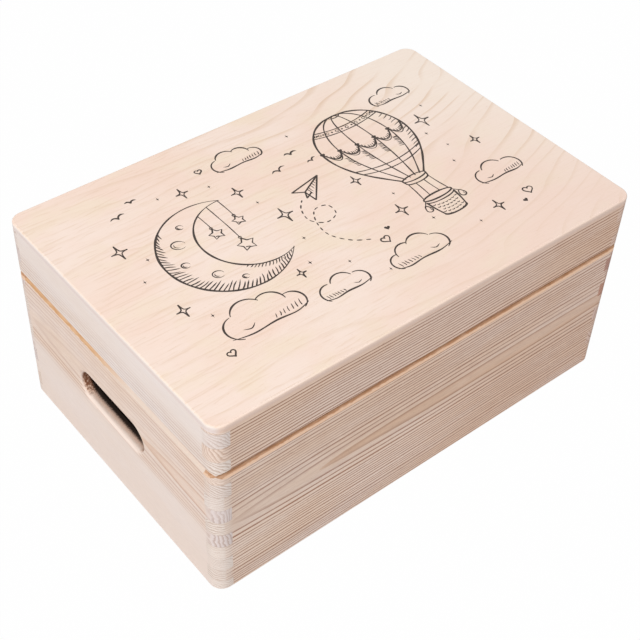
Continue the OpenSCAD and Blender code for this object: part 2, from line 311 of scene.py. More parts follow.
def pine(name, grain, pith, early, late, fresh, ring=2.7, shift=0.0, seed=0.0, tilt=0.0, dive=0.0,
         bow=0.0, wander=2.0, contrast=1.0, sharp=1.7, mellow=(-0.6, 0.8), deepen=0.0, plain=None,
         warm=None, painted_shade_ramp=None, heart=None, drop=0.0, slot=False):
    """Sawn softwood as a solid: year rings round a pith line, so faces, edges and end grain agree.

    pith is where the pith crosses the middle of the board: (across, height). Per millimetre of length
    it climbs by tilt and moves across by dive, which itself changes by bow, and it wanders by about
    wander; ring is the rings' spacing, and shift moves them outwards. early and late are the colours
    between their dark lines and in them, contrast strengthens the lines, and sharp thins them. mellow
    tells at which slopes of the rings against the face the lines begin and are full, and deepen
    strengthens them low on the board, towards its left. plain is a height, and a reach above and below
    it, where the rings hardly show. fresh tells the bevel at the seam: its inner colour, its outer
    colour and how far from the seam they meet; warm is two places along the grain, the inner colour
    past the first and none of it past the second. dusk is painted shade: a darkening tint, and the
    two places along the grain between which it grows; heart is how many rings from the pith have
    another tint, and that tint.
    drop lowers the finger joints' rhythm, and slot roughens the hand slot.
    """
    t = Tree(name)
    along, across, height, end_facing, up_facing = t.place(grain)
    seeded = t.plus(along, SEED_STEP * seed)
    board = (seeded, across, height)

    # year rings
    drift = t.noise(t.vector(seeded, 0.0, 11.0), 1 / 160, 1.0)
    sway = t.noise(t.vector(seeded, 50.0, 0.0), 1 / 120, 1.0)
    wave = t.streaks(board, 0.12, 1 / 10)
    lean = t.plus(t.times(along, bow), dive)
    core = t.plus(t.times(along, lean), pith[0])
    side = t.plus(t.minus(across, core), t.around(drift, wander))
    climb = t.plus(t.times(along, tilt), pith[1])
    rise = t.plus(t.minus(height, climb), t.around(sway, 1.6 * wander))
    radius = t.math("SQRT", t.plus(t.times(side, side), t.times(rise, rise)))
    radius = t.plus(radius, t.around(wave, 0.45))
    uneven = t.noise(t.vector(radius, 31.0 * seed, 0.0), 1 / 9, 1.0)
    rings = t.plus(t.over(t.minus(radius, shift), ring), t.around(uneven, 0.9))
    phase = t.math("FRACT", rings)
    darken = t.math("POWER", t.steps(phase, *LATE_GROWS), sharp)
    darken = t.times(darken, t.steps(phase, *LATE_STOPS))

    # some rings are stronger than others, and all of them fade here and there
    each = t.chance(t.plus(t.math("FLOOR", rings), 17.0 * seed))
    patchy = t.streaks(board, 0.2, 1 / 28, 1.0)
    strength = t.times(t.steps(each, -1.2, 1.0, False), t.steps(patchy, 0.0, 0.6))
    if plain:
        strength = t.times(strength, t.minus(1.0, t.band(height, *plain, 4.0)))
    low = 0.0
    if deepen:
        low = t.times(t.band(height, *LOW_BAND), t.steps(along, *LOW_REACH))
        strength = t.times(strength, t.plus(t.times(low, deepen), 1.0))

    # fibres break the rings' lines up
    fibre = t.streaks(board, 0.04, 2.2, 4.0, 0.7)
    slope = t.over(t.absolute(rise), radius)
    broken = t.times(strength, t.times(t.steps(fibre, 0.24, 0.52), t.steps(slope, *mellow)))
    late_share = t.math("MULTIPLY", darken, t.times(broken, contrast), clamp=True)
    face = t.mix(late_share, early, late)
    dry = t.math("MAXIMUM", t.steps(fibre, 0.3, 0.66), low)
    face = t.mix(dry, t.tinted(face, DRY_FIBRE), face)
    tone = t.streaks(board, 0.25, 1 / 22, 3.0)
    face = t.mix(t.steps(tone, 0.3, 0.7), face, t.tinted(face, CREAM_PATCH))
    canal = t.steps(t.streaks(board, 0.09, 3.0, 2.0, 0.4), 0.66, 0.74)
    face = t.mix(t.times(canal, 0.4), face, late)
    if plain:
        bare_strip = t.times(t.band(height, *plain, 12.0), 0.6)
        face = t.mix(bare_strip, face, PLAIN_STRIP)
    if heart:
        reach, tint = heart
        brown = t.times(t.steps(rings, reach - 1.8, reach - 0.1), t.math("LESS_THAN", rings, reach))
        face = t.mix(brown, face, t.tinted(face, tint))
    # painted shade: the board darkens along the grain towards its right end
    if painted_shade_ramp:
        tint, start, end = painted_shade_ramp
        face = t.mix(t.steps(along, start, end, False), face, t.tinted(face, tint))

    # end grain; the sander's whitening creeps round onto the faces, most of all under the panel
    speck = t.noise(t.vector(*board), 2.0, 3.0, 0.7)
    beat = t.over(t.minus(height, FINGER_FIRST - drop), FINGER_PITCH)
    finger = t.chance(t.plus(t.math("FLOOR", beat), 5.0 * seed))
    x, y = (along, across) if grain == "X" else (across, along)
    near = t.steps(t.plus(x, y), *NEAR_CORNER)
    cut = end_grain(t, across, height, finger, near, wave, patchy, speck, t.times(darken, strength))
    half_along, half_across = (HALF_L, HALF_W) if grain == "X" else (HALF_W, HALF_L)
    wall_along, wall_across = half_along - WALL, half_across - WALL
    rubbed = t.steps(t.plus(t.absolute(along), t.around(speck, 1.5)),
                     wall_along + RUBBED[0], wall_along + RUBBED[1])
    under_panel = t.steps(height, TOP_LOW - UNDER_PANEL[0], TOP_LOW - UNDER_PANEL[1])
    rubbed = t.times(t.times(rubbed, near), t.plus(t.times(under_panel, 0.4), 0.55))
    inside = in_slot(t, along, height) if slot else 0.0
    end_share = t.math("MAXIMUM", t.steps(end_facing, *END_FACING), rubbed)
    end_share = t.times(end_share, t.minus(1.0, inside))
    colour = t.mix(end_share, face, cut)
    if slot:
        colour = slot_colour(t, (along, across, height), end_facing, speck, inside, colour)

    # bevels at the seam
    sloping = t.times(t.math("GREATER_THAN", up_facing, BEVEL_FACING[0]),
                      t.math("LESS_THAN", up_facing, BEVEL_FACING[1]))
    sloping = t.times(sloping, t.minus(1.0, inside))
    from_seam = t.absolute(t.minus(height, SEAM_Z))
    bare = bevel_colour(t, (along, across, height), from_seam, fresh, warm)
    bevel = t.times(sloping, t.math("LESS_THAN", from_seam, SEAM_BEVEL + 0.3))
    colour = t.mix(bevel, colour, bare)

    # hairlines where the fingers meet
    from_line = t.absolute(t.minus(t.math("FRACT", t.plus(beat, 0.5)), 0.5))
    line = t.steps(from_line, *LINE_WIDTH)
    corner = t.times(t.math("GREATER_THAN", t.absolute(along), wall_along),
                     t.math("GREATER_THAN", t.absolute(across), wall_across))
    colour = t.mix(t.times(t.times(line, corner), 0.4), colour, FINGER_LINE)

    relief = t.plus(t.times(fibre, 0.6), t.times(darken, 0.5))
    t.put(t.surface.inputs["Base Color"], colour)
    t.put(t.surface.inputs["Roughness"], t.plus(t.times(fibre, 0.15), 0.58))
    t.put(t.surface.inputs["Normal"], t.bump(relief, 0.25, 0.0002))
    t.surface.inputs["Specular IOR Level"].default_value = 0.12
    return t.material


# ---- birch plywood

VENEER_LIGHT = rgb(255, 234, 221)
VENEER_PINK = rgb(253, 226, 210)
VENEER_STRAW = rgb(252, 231, 211)
# painted shade towards the panel's right front, and painted light towards its back right
VENEER_PAINTED_SHADE = rgb(248, 220, 206)
VENEER_PAINTED_LIGHT = rgb(255, 240, 227)
VENEER_LINE = rgb(226, 192, 160)
VENEER_FLECK = rgb(214, 170, 134)

# the panel's edge, low and high, on the long sides and on the ends, with its core and its fuzz; the ends'
# whiter, lilac colours are partly the plies' own and partly a painted highlight along the eased arris
LONG_EDGE = (rgb(244, 214, 196), rgb(255, 230, 214))
SHORT_EDGE_WITH_HIGHLIGHT = (rgb(248, 233, 228), rgb(255, 243, 236))
CORE_PLY = rgb(236, 216, 208)
EDGE_FUZZ = rgb(245, 240, 237)

INK_DARK = rgb(16, 11, 9)
INK_WORN = rgb(48, 34, 28)


def birch(name, seed=0.0, ink=False):
    """Rotary-cut veneer: contour lines and fine ripples along X; the panel's edge shows its plies."""
    t = Tree(name)
    along, across, height, end_facing, up_facing = t.place("X")

    def sheet(level, stretch, scale, detail=2.0, roughness=0.5):
        """Streaks in the plane of the sheet, others for each level."""
        return t.streaks((along, across, level + seed), stretch, scale, detail, roughness)

    tone = sheet(19.0, 0.5, 1 / 34, 3.0)
    hue = sheet(41.0, 0.6, 1 / 22, 3.0)
    face = t.mix(t.steps(tone, 0.35, 0.65), VENEER_LIGHT, VENEER_PINK)
    face = t.mix(t.steps(hue, 0.45, 0.68), face, VENEER_STRAW)
    # painted shade: darker towards the right front; painted light: paler towards the back right
    painted_shade_right_front = t.steps(t.minus(along, across), 20.0, 260.0, False)
    face = t.mix(t.times(painted_shade_right_front, 0.6), face, VENEER_PAINTED_SHADE)
    pale = t.steps(t.plus(along, t.times(across, 0.6)), 80.0, 170.0, False)
    face = t.mix(t.times(pale, 0.9), face, VENEER_PAINTED_LIGHT)

    # contour lines, sharp on one side; they fan out and show best at the back right
    hill = sheet(7.0, 0.25, 1 / 52, 2.0, 0.45)
    right = t.math("MAXIMUM", along, 0.0)
    fan = t.minus(across, t.times(t.times(right, right), 0.0015))
    phase = t.math("FRACT", t.plus(t.over(fan, 11.0), t.around(hill, 2.6)))
    line = t.times(t.steps(phase, 0.72, 0.98), t.steps(phase, 1.0, 0.985))
    fade = sheet(3.0, 0.5, 1 / 26)
    line = t.times(line, t.steps(fade, 0.3, 0.62))
    clear = t.steps(t.plus(t.times(along, 0.6), across), 10.0, 110.0)
    line = t.times(line, t.plus(t.times(clear, 0.35), 0.2))
    face = t.mix(line, face, VENEER_LINE)

    # fine ripples, a few millimetres apart
    stir = sheet(13.0, 0.3, 1 / 9)
    ripple = t.math("FRACT", t.plus(t.over(across, 3.1), t.around(stir, 1.3)))
    ripple = t.times(t.steps(ripple, 0.45, 0.92), t.steps(ripple, 1.0, 0.94))
    dash = sheet(23.0, 0.16, 0.42, 3.0)
    leftward = t.steps(t.plus(along, t.around(fade, 90.0)), 110.0, -70.0)
    ripple = t.times(t.times(ripple, t.steps(dash, 0.45, 0.62)), leftward)
    face = t.mix(t.times(ripple, 0.27), face, VENEER_LINE)

    streak = sheet(0.0, 0.05, 1.1, 5.0, 0.62)
    face = t.mix(t.times(t.steps(streak, 0.46, 0.68), 0.1), face, VENEER_LINE)
    fleck = t.steps(sheet(0.0, 0.22, 1.6), 0.67, 0.76)
    face = t.mix(t.times(fleck, 0.3), face, VENEER_FLECK)

    # three plies on the edge: veneer, cross-grained core, veneer; on the ends a painted highlight whitens
    # them as well
    ply = t.over(t.minus(height, TOP_LOW), TOP_HIGH - TOP_LOW)
    long_edge = t.mix(t.steps(ply, 0.25, 0.85), *LONG_EDGE)
    short_edge_with_highlight = t.mix(t.steps(ply, 0.25, 0.75), *SHORT_EDGE_WITH_HIGHLIGHT)
    edge = t.mix(t.steps(end_facing, 0.3, 0.8), long_edge, short_edge_with_highlight)
    core = t.band(ply, 0.42, 0.17, 0.05)
    edge = t.mix(t.times(core, 0.3), edge, CORE_PLY)
    fuzz = t.noise(t.vector(along, across, t.times(height, 3.0)), 1.4, 3.0, 0.7)
    edge = t.mix(t.steps(fuzz, 0.3, 0.65), t.tinted(edge, EDGE_FUZZ), edge)
    colour = t.mix(t.steps(up_facing, 0.3, 0.8), edge, face)

    if ink:
        soak = t.noise(t.vector(along, t.times(across, 3.0), 0.0), 1.5, 3.0, 0.6)
        black = t.mix(t.steps(soak, 0.25, 0.8), INK_DARK, INK_WORN)
        colour = t.mix(0.04, black, colour)
    t.put(t.surface.inputs["Base Color"], colour)
    t.put(t.surface.inputs["Roughness"], t.plus(t.times(streak, 0.2), 0.5))
    t.put(t.surface.inputs["Normal"], t.bump(t.plus(streak, fleck), 0.12, 0.0001))
    t.surface.inputs["Specular IOR Level"].default_value = 0.3
    return t.material


# ---- metal

def metal(name, base, dark, roughness):
    """Plated sheet with brushed streaks along the hinge, dulled in patches."""
    t = Tree(name)
    place = t.place("X")[:3]
    brushed = t.streaks(place, 0.2, 5.0, 3.0, 0.6)
    patch = t.noise(t.vector(*place), 0.35, 3.0, 0.6)
    t.put(t.surface.inputs["Base Color"], t.mix(t.steps(patch, 0.35, 0.7), base, dark))
    t.put(t.surface.inputs["Roughness"], t.plus(t.times(brushed, 0.25), roughness))
    t.put(t.surface.inputs["Normal"], t.bump(brushed, 0.15, 0.0001))
    t.surface.inputs["Metallic"].default_value = 1.0
    return t.material


# ---- which piece looks like what

FRONT = dict(grain="X", early=rgb(255, 235, 222), late=rgb(178, 132, 111),
             fresh=(rgb(207, 166, 136), rgb(230, 196, 169), 1.9),
             # painted shade: the front and back boards darken slightly towards the right
             painted_shade_ramp=(rgb(251, 246, 243), -120.0, 140.0))
LEFT = dict(grain="Y", early=rgb(255, 237, 226), late=rgb(200, 155, 132),
            fresh=(rgb(226, 188, 150), rgb(230, 212, 198), 2.5))


def dress(node, material):
    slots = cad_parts[node].data.materials
    slots.clear()
    slots.append(material)


def dress_wood():
    mid_x = HALF_L - WALL / 2
    mid_y = HALF_W - WALL / 2
    back = dict(FRONT, pith=(mid_y - 30, 20), ring=2.6, seed=2, tilt=-0.01)
    right = dict(LEFT, pith=(mid_x + 16, 40), ring=2.5, seed=4, tilt=-0.02)
    boards = {
        "body_front_board": dict(FRONT, pith=(-HALF_W + 10.14, 56), ring=2.2, shift=0.95, seed=1,
                                 dive=-0.0119, bow=0.0000921, wander=0.6, contrast=1.75, sharp=2.8,
                                 mellow=(-0.25, 0.95), deepen=0.45, heart=(5, rgb(246, 237, 228))),
        "body_back_board": back,
        "body_left_end": dict(LEFT, pith=(-HALF_L + 11.6, 66.5), ring=2.6, seed=3, dive=0.045,
                              wander=0.8, contrast=0.8, plain=(22, 20), slot=True, warm=(20, -25),
                              heart=(4, rgb(254, 248, 242))),
        "body_right_end": dict(right, slot=True),
    }
    lids = {
        "lid_front_board": dict(FRONT, early=rgb(255, 233, 218), pith=(-mid_y + 14, 50), ring=2.1,
                                seed=1, wander=1.5, contrast=1.9, sharp=2.3),
        "lid_back_board": back,
        "lid_left_end": dict(LEFT, early=rgb(255, 245, 241), pith=(-mid_x + 3, 150), ring=2.3,
                             seed=3, plain=(128, 9), contrast=0.7, warm=(20, -25)),
        "lid_right_end": right,
    }
    for node, looks in boards.items():
        dress(node, pine("pine_" + node, **looks))
    for node, looks in lids.items():
        dress(node, pine("pine_" + node, drop=SAW_LOSS, **looks))
    dress("bottom_panel", birch("plywood_bottom", seed=5.0))


def dress_metal():
    brass = metal("plated_brass", rgb(214, 178, 104), rgb(188, 148, 78), 0.28)
    steel = metal("plain_steel", rgb(186, 182, 176), rgb(150, 146, 140), 0.3)
    for side in ("left", "right"):
        dress(f"{side}_hinge_body_leaf", brass)
        dress(f"{side}_hinge_lid_leaf", brass)
        dress(f"{side}_hinge_pin", steel)
    dress("body_leaf_screws", brass)
    dress("lid_leaf_screws", brass)


# ---- the lid's drawing: generic nursery motifs, inked flush with the veneer

PEN = 1.2                   # width of the outlines
FINE = 0.6                  # width of quick strokes
HAIR = 0.42                 # width of the finest hatching
BLEED = 0.2                 # how much wider than the pen the ink prints
TAPER = 0.3                 # share of a line over which an end thins out
WOBBLE = 0.14               # share by which a line's width swings
WOBBLE_RATE = 0.35          # how fast it swings, in radians for each millimetre
INK_REACH = (132.0, 86.0)   # the drawing stays within these distances of the lid's middle
TOP_EASE = 1.0              # radius that eases the panel's upper edge
CORNER_R = 8.0              # radius of the panel's corners in plan
CORNER_PARTS = 16           # flats round each of them
EASE_PARTS = 6              # flats over the eased edge
MERGE = 1e-4                # points of the drawing that are nearer than this, in millimetres, are one
WELD = 1e-7                 # and corners of the finished mesh, in metres
KEEP_INSIDE = 1             # the triangulation's option that keeps what lies inside the faces


def spline(points, closed=False, step=1.1):
    """A smooth curve through the points (Catmull-Rom), as points about a step apart."""
    count = len(points)
    found = []
    for i in range(count if closed else count - 1):
        if closed:
            a, b, c, d = (points[(i + k) % count] for k in (-1, 0, 1, 2))
        else:
            a, b, c, d = (points[min(max(i + k, 0), count - 1)] for k in (-1, 0, 1, 2))
        parts = max(2, int(math.dist(b, c) / step))
        for j in range(parts):
            s = j / parts
            found.append(tuple(0.5 * (2 * q + (r - p) * s + (2 * p - 5 * q + 4 * r - u) * s * s
                                      + (3 * q - p - 3 * r + u) * s ** 3)
                               for p, q, r, u in zip(a, b, c, d)))
    found.append(points[0] if closed else points[-1])
    return found


def arc(centre, rx, start, end, ry=None, turn=0.0, step=1.0):
    """Part of an ellipse between two angles in degrees, turned as a whole by turn."""
    ry = rx if ry is None else ry
    parts = max(4, int(abs(math.radians(end - start)) * max(rx, ry) / step))
    c, s = math.cos(math.radians(turn)), math.sin(math.radians(turn))
    found = []
    for i in range(parts + 1):
        a = math.radians(start + (end - start) * i / parts)
        x, y = rx * math.cos(a), ry * math.sin(a)
        found.append((centre[0] + c * x - s * y, centre[1] + s * x + c * y))
    return found


def polar(centre, reach, angle):
    """The point at reach from centre, at an angle in radians."""
    return centre[0] + reach * math.cos(angle), centre[1] + reach * math.sin(angle)


class Drawing:
    """Inked shapes on the lid's top face, each a small convex or simple polygon, in millimetres."""

    def __init__(self, seed):
        self.shapes = []
        self.chance = random.Random(seed)

    def fill(self, points):
        """A shape inked all over; its points are put in anticlockwise order."""
        area = sum(a[0] * b[1] - b[0] * a[1] for a, b in zip(points, points[1:] + points[:1]))
        self.shapes.append(points if area > 0 else points[::-1])

    def stroke(self, points, width=PEN, start=1.0, end=1.0):
        """A pen line. start and end are the shares of the width that its two ends have."""
        phase = self.chance.uniform(0, 6.3)
        lengths = [0.0]
        for a, b in zip(points, points[1:]):
            lengths.append(lengths[-1] + math.dist(a, b))
        rails = []
        for i, (x, y) in enumerate(points):
            before, after = points[max(i - 1, 0)], points[min(i + 1, len(points) - 1)]
            tx, ty = after[0] - before[0], after[1] - before[1]
            size = math.hypot(tx, ty) or 1.0
            share = lengths[i] / lengths[-1]
            thin = min(start + (1 - start) * min(share / TAPER, 1),
                       end + (1 - end) * min((1 - share) / TAPER, 1))
            swing = 1 + WOBBLE * math.sin(phase + lengths[i] * WOBBLE_RATE)
            half = (width + BLEED) / 2 * thin * swing
            nx, ny = -ty / size * half, tx / size * half
            rails.append(((x + nx, y + ny), (x - nx, y - ny)))
        for (l0, r0), (l1, r1) in zip(rails, rails[1:]):
            self.shapes.append([r0, r1, l1, l0])
        for place, share in ((points[0], start), (points[-1], end)):
            if share > 0.6:
                self.shapes.append(arc(place, width / 2 * share, 0, 315, step=width / 2 * 0.79))

    def loop(self, points, width=PEN):
        self.stroke(points + points[:1], width)

    def hatch(self, start, end, width=FINE):
        """A quick stroke that thins out, slightly bent."""
        mid = ((start[0] + end[0]) / 2 + self.chance.uniform(-0.4, 0.4),
               (start[1] + end[1]) / 2 + self.chance.uniform(-0.4, 0.4))
        self.stroke(spline([start, mid, end]), width, end=0.15)

    # motifs

    def star(self, centre, size, filled=False):
        """A four-pointed star with hollow sides, taller than it is wide."""
        tall, pinch = 1.25, 0.3                  # height to width, and the notches' share of the reach
        sides = []
        for k in range(4):
            a, b, c = (math.radians(90 * k + more) for more in (0, 45, 90))
            tip = (centre[0] + size * math.cos(a), centre[1] + tall * size * math.sin(a))
            last = (centre[0] + size * math.cos(c), centre[1] + tall * size * math.sin(c))
            sides.append(spline([tip, polar(centre, size * pinch, b), last], step=0.6))
        if filled:
            self.fill([p for side in sides for p in side[:-1]])
        else:
            for side in sides:
                self.stroke(side, 0.62)

    def plump_star(self, centre, size):
        """A five-pointed star with rounded sides, as hung over a cot."""
        ring = []
        for k in range(10):
            r = size if k % 2 == 0 else 0.55 * size
            ring.append(polar(centre, r, math.radians(90.0 + 36 * k)))
        self.loop(ring, 0.75)
        self.hatch((centre[0] - 0.35 * size, centre[1] - 0.35 * size),
                   (centre[0] + 0.1 * size, centre[1] - 0.5 * size))

    def heart(self, centre, size, turn=0.0, filled=False):
        points = []
        c, s = math.cos(math.radians(turn)), math.sin(math.radians(turn))
        for k in range(28):
            a = 2 * math.pi * k / 28
            x = size * math.sin(a) ** 3
            y = size * (0.8125 * math.cos(a) - 0.3125 * math.cos(2 * a) - 0.125 * math.cos(3 * a)
                        - 0.0625 * math.cos(4 * a))
            points.append((centre[0] + c * x - s * y, centre[1] + s * x + c * y))
        if filled:
            self.fill(points)
        else:
            self.loop(points, 0.7)

    def cloud(self, centre, size, bumps, flip):
        """Bumps are (x, y, radius, start angle, end angle) in shares of size; the foot is a long line."""
        def at(x, y):
            return centre[0] + flip * size * x, centre[1] + size * y

        for x, y, r, a0, a1 in bumps:
            found = [(centre[0] + flip * (px - centre[0]), py)
                     for px, py in arc((centre[0] + size * x, centre[1] + size * y), size * r, a0, a1)]
            self.stroke(found, 0.9, start=0.5, end=0.5)
        foot = [at(-0.98, -0.24), at(-0.5, -0.33), at(0.1, -0.30), at(0.62, -0.34), at(0.99, -0.24)]
        self.stroke(spline(foot), 0.9, start=0.4, end=0.4)
        for k in range(7):
            x = 0.15 + 0.11 * k
            self.hatch(at(x, -0.24), at(x + 0.05, -0.12 + 0.012 * k), HAIR)
        self.stroke(spline([at(-0.62, -0.12), at(-0.45, -0.18), at(-0.3, -0.08)]), 0.5, 0.3, 0.2)

    def bird(self, centre, size, turn):
        """Two wings, each a line that thins out towards its tip."""
        c, s = math.cos(math.radians(turn)), math.sin(math.radians(turn))

        def at(x, y):
            return centre[0] + size * (c * x - s * y), centre[1] + size * (s * x + c * y)

        left = [at(-1, 0.28), at(-0.55, 0.5), at(-0.15, 0.3), at(0, 0)]
        right = [at(0, 0), at(0.2, 0.42), at(0.65, 0.6), at(1.1, 0.42)]
        self.stroke(spline(left, step=0.7), 0.95, 0.15, 0.8)
        self.stroke(spline(right, step=0.7), 0.95, 0.8, 0.15)

    def moon(self):
        """A crescent with craters, and three stars that hang in its hollow."""
        middle, radius = (-66.0, 8.0), 38.0
        hollow, inner = (-48.5, 11.0), 29.8
        self.stroke(arc(middle, radius, 59.5, 321), 1.1, 0.35, 0.35)
        self.stroke(arc(hollow, inner, 86, 294), 1.0, 0.35, 0.35)
        for k in range(46):                      # shade along the outer edge
            a = math.radians(132 + 3.9 * k)
            long = 3.0 + 4.5 * math.sin(math.pi * k / 45) + self.chance.uniform(-1.2, 1.2)
            self.hatch(polar(middle, radius - 0.3, a), polar(middle, radius - long, a + math.radians(5)))
        for k in range(15):                      # and inside the hollow, towards the lower horn
            a = math.radians(236 + 3.6 * k)
            long = 2.0 + 1.5 * math.sin(math.pi * k / 14)
            end = polar(hollow, inner + long, a - math.radians(3))
            self.hatch(polar(hollow, inner + 0.3, a), end, HAIR)
        for x, y, r in ((-87, 22, 4.2), (-93, 6, 2.6), (-83, -10, 3.4), (-72, -20, 2.0), (-78, 34, 2.2)):
            self.stroke(arc((x, y), r, 20, 330, ry=0.8 * r, turn=-25, step=0.6), 0.6, 0.2, 0.2)
            self.stroke(arc((x, y), 0.62 * r, 150, 290, ry=0.5 * r, turn=-25, step=0.6), 0.45, 0.2, 0.2)
        for x, low, size in ((-64.5, 17.5, 4.6), (-56.0, 1.0, 5.6), (-47.6, 20.0, 4.0)):
            high = hollow[1] + math.sqrt(inner ** 2 - (x - hollow[0]) ** 2)
            self.stroke(spline([(x, high), (x + 0.3, (high + low) / 2), (x, low + size)]), 0.45)
            self.plump_star((x, low), size)
            self.stroke(arc((x, low + size + 0.9), 0.9, 0, 330, step=0.4), 0.4)

    def balloon(self):
        """A hot-air balloon: ribbed envelope, throat, ropes and a basket with two sandbags."""
        cx = 58.0
        profile = [(0, 66), (9.5, 64.8), (19, 60), (26, 52), (30, 41.5), (30.4, 30), (27.4, 18.5),
                   (21.5, 7.5), (14.2, -2), (8.6, -8.6)]
        ribs = (-1.0, -0.63, -0.22, 0.22, 0.63, 1.0)

        def width_at(y):
            for (w0, y0), (w1, y1) in zip(profile, profile[1:]):
                if y1 <= y <= y0:
                    return w0 + (w1 - w0) * (y0 - y) / (y0 - y1)
            return profile[-1][0]

        for share in ribs:
            rib = spline([(cx + share * w, y) for w, y in profile])
            self.stroke(rib, 1.1 if abs(share) == 1 else 0.7)
        self.stroke(arc((cx, 65.6), 4.2, 200, 340, ry=2.0, step=0.6), 0.6)
        shares = [k / 16 for k in range(-16, 17)]
        for y, sag in ((57.5, 3.2), (53.5, 3.6), (14.0, 4.6), (9.5, 4.4)):      # belts, seen from above
            w = width_at(y)
            self.stroke([(cx + w * share, y - sag * (1 - share ** 2)) for share in shares], 0.6)
        for k in range(-9, 10):                  # beads between the two upper lines
            w = width_at(55.5)
            x = cx + w * math.sin(math.radians(9.6 * k))
            y = 55.5 - 3.4 * (1 - ((x - cx) / w) ** 2)
            if k % 2:
                self.fill(arc((x, y), 0.75, 0, 315, step=0.59))
            else:
                self.stroke(arc((x, y), 1.0, 0, 330, step=0.4), 0.4)
        for k0, k1 in zip(ribs, ribs[1:]):       # swags hung from rib to rib
            y = 38.0
            w = width_at(y)

            def hung(k, drop):
                x = cx + w * (k0 + (k1 - k0) * k)
                base = y - 4.2 * (1 - ((x - cx) / w) ** 2)
                return x, base - drop * 4 * k * (1 - k)

            for drop, pen in ((6.4, 0.85), (8.2, 0.5)):
                self.stroke([hung(k / 14, drop) for k in range(15)], pen)
            for k in range(1, 8):
                x, base = hung(k / 8, 6.4)
                self.hatch((x, base), (x, base + 1.4 + 1.6 * math.sin(math.pi * k / 8)), HAIR)
            x, base = hung(0.0, 0.0)
            self.heart((x, base + 0.2), 1.7, filled=True)
        for share in ribs[1:-1]:                 # light shade beside each inner rib
            for k in range(9):
                y = 27.0 - 1.15 * k
                x = cx + share * width_at(y)
                self.hatch((x, y), (x - 2.6 - self.chance.uniform(0, 1.2), y + 0.9), HAIR)
        for k in range(14):                      # shade inside the right edge
            y = 50.0 - 3.1 * k
            if y > 10.0:
                w = width_at(y)
                far = cx + w - 3.4 - self.chance.uniform(0, 2.2)
                self.hatch((cx + w - 0.4, y), (far, y - 1.6), 0.45)
        self.loop(arc((cx, -9.6), 8.7, 0, 350, ry=2.3), 0.8)
        self.stroke(arc((cx, -12.6), 8.0, 190, 350, ry=2.2), 0.8)
        for side in (-1, 1):
            self.stroke([(cx + side * 8.7, -9.6), (cx + side * 8.0, -12.8)], 0.8)
            outer = ((7.8, -13.6), (8.4, -21), (9.6, -29))
            inner = ((3.0, -15.0), (3.2, -21), (3.8, -28))
            for rope, width in ((outer, 0.55), (inner, 0.5)):
                self.stroke(spline([(cx + side * x, y) for x, y in rope]), width)

        # basket
        self.loop(arc((cx, -30.0), 10.6, 0, 350, ry=2.4), 1.0)
        self.stroke(arc((cx, -32.2), 10.3, 185, 355, ry=2.5), 0.7)
        for side in (-1, 1):
            edge = ((10.4, -32.4), (9.6, -39), (8.2, -45.5))
            self.stroke(spline([(cx + side * x, y) for x, y in edge]), 1.0)
        self.stroke(arc((cx, -45.5), 8.2, 180, 360, ry=2.4), 1.1)
        for row in range(5):
            y = -35.3 - 2.5 * row
            w = 9.9 - 0.34 * row
            for k in range(-3, 4):
                x = cx + 2.7 * k + (1.35 if row % 2 else 0.0)
                if abs(x - cx) < w - 1.2:
                    y0 = y - 2.2 * (1 - ((x - cx) / w) ** 2)
                    weave = [(x - 1.1, y0 + 0.1), (x, y0 - 0.45), (x + 1.1, y0 + 0.1)]
                    self.stroke(spline(weave, step=0.5), 0.5, 0.5, 0.5)
        for side, x in ((-1, cx - 13.0), (1, cx + 13.0)):        # sandbags
            self.stroke([(cx + side * 10.3, -31.0), (x, -34.0)], 0.45)
            bag = [(x, -34.0), (x + 1.7, -36.4), (x + 1.9, -38.6), (x, -39.8), (x - 1.9, -38.6),
                   (x - 1.7, -36.4)]
            self.loop(spline(bag, closed=True, step=0.6)[:-1], 0.65)
            self.hatch((x + 1.2, -38.9), (x + 0.9, -36.6), 0.4)

    def paper_plane(self):
        """A folded plane with a dashed, looping trail behind it."""
        nose, tail, wing, fold = (13.0, 25.5), (-9.0, 21.0), (-1.5, 8.0), (-2.4, 17.2)
        for a, b in ((nose, tail), (nose, wing), (tail, fold), (nose, fold), (wing, fold)):
            self.stroke([a, ((a[0] + b[0]) / 2, (a[1] + b[1]) / 2), b], 0.85)
        keel = (-4.6, 12.2)
        self.stroke([fold, keel], 0.8)
        self.stroke([keel, (0.6, 15.0)], 0.8)
        for k in range(6):
            s = 0.16 + 0.12 * k
            a = (fold[0] + (nose[0] - fold[0]) * s, fold[1] + (nose[1] - fold[1]) * s)
            b = (wing[0] + (nose[0] - wing[0]) * s, wing[1] + (nose[1] - wing[1]) * s)
            self.hatch(a, (a[0] + 0.7 * (b[0] - a[0]), a[1] + 0.7 * (b[1] - a[1])), HAIR)
        trail = spline([(-8.5, 12.5), (-14, 6), (-16, -4), (-9, -11), (0, -8), (0.5, 0.5), (-8, 1.5),
                        (-14, -8), (-15, -20), (-8, -31), (3, -38)], step=0.9)
        for i in range(0, len(trail) - 4, 5):
            self.stroke(trail[i:i + 4], 0.62, 0.6, 0.6)


# a cloud's bumps: (x, y, radius, start angle, end angle), in shares of its size
BIG_CLOUD = ((-0.62, -0.02, 0.36, 95, 250), (-0.22, 0.2, 0.42, 30, 160), (0.3, 0.16, 0.36, -5, 125),
             (0.72, -0.05, 0.3, -70, 100))
SMALL_CLOUD = ((-0.6, -0.04, 0.38, 85, 240), (-0.05, 0.14, 0.46, 25, 160), (0.58, -0.04, 0.42, -50, 105))

